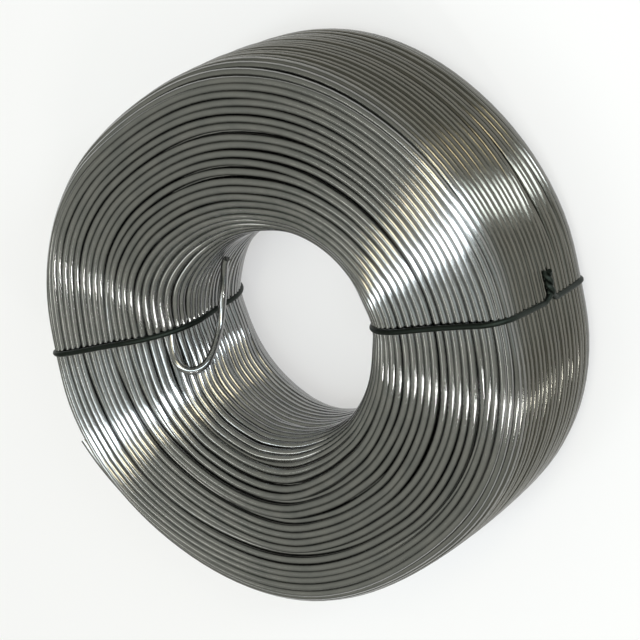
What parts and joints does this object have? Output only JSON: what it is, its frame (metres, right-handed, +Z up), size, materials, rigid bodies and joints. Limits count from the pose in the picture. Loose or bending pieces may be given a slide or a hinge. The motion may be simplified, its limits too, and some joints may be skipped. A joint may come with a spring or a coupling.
{
  "type": "tie wire coil",
  "caption": "Coil of stainless steel tie wire, wound into a thick ring with an open bore and held by dark wire ties. It lies on its end.",
  "frame": {"origin": "centre of the bore, halfway through the coil", "axes": "+Z up along the axis of the coil, out of the end that the picture shows, with the coil lying on its other end; -Y towards the tie with its twisted ends in view"},
  "size_m": [0.114, 0.1192, 0.0366],
  "materials": {
    "stainless_wire": "bright drawn stainless wire, polished along its length",
    "black_tie_wire": "black annealed wire, dull with a slight sheen"
  },
  "bodies": {
    "root": {"wire_coil": "stainless_wire", "tie_left": "black_tie_wire", "tie_right": "black_tie_wire"}
  },
  "joints": []
}
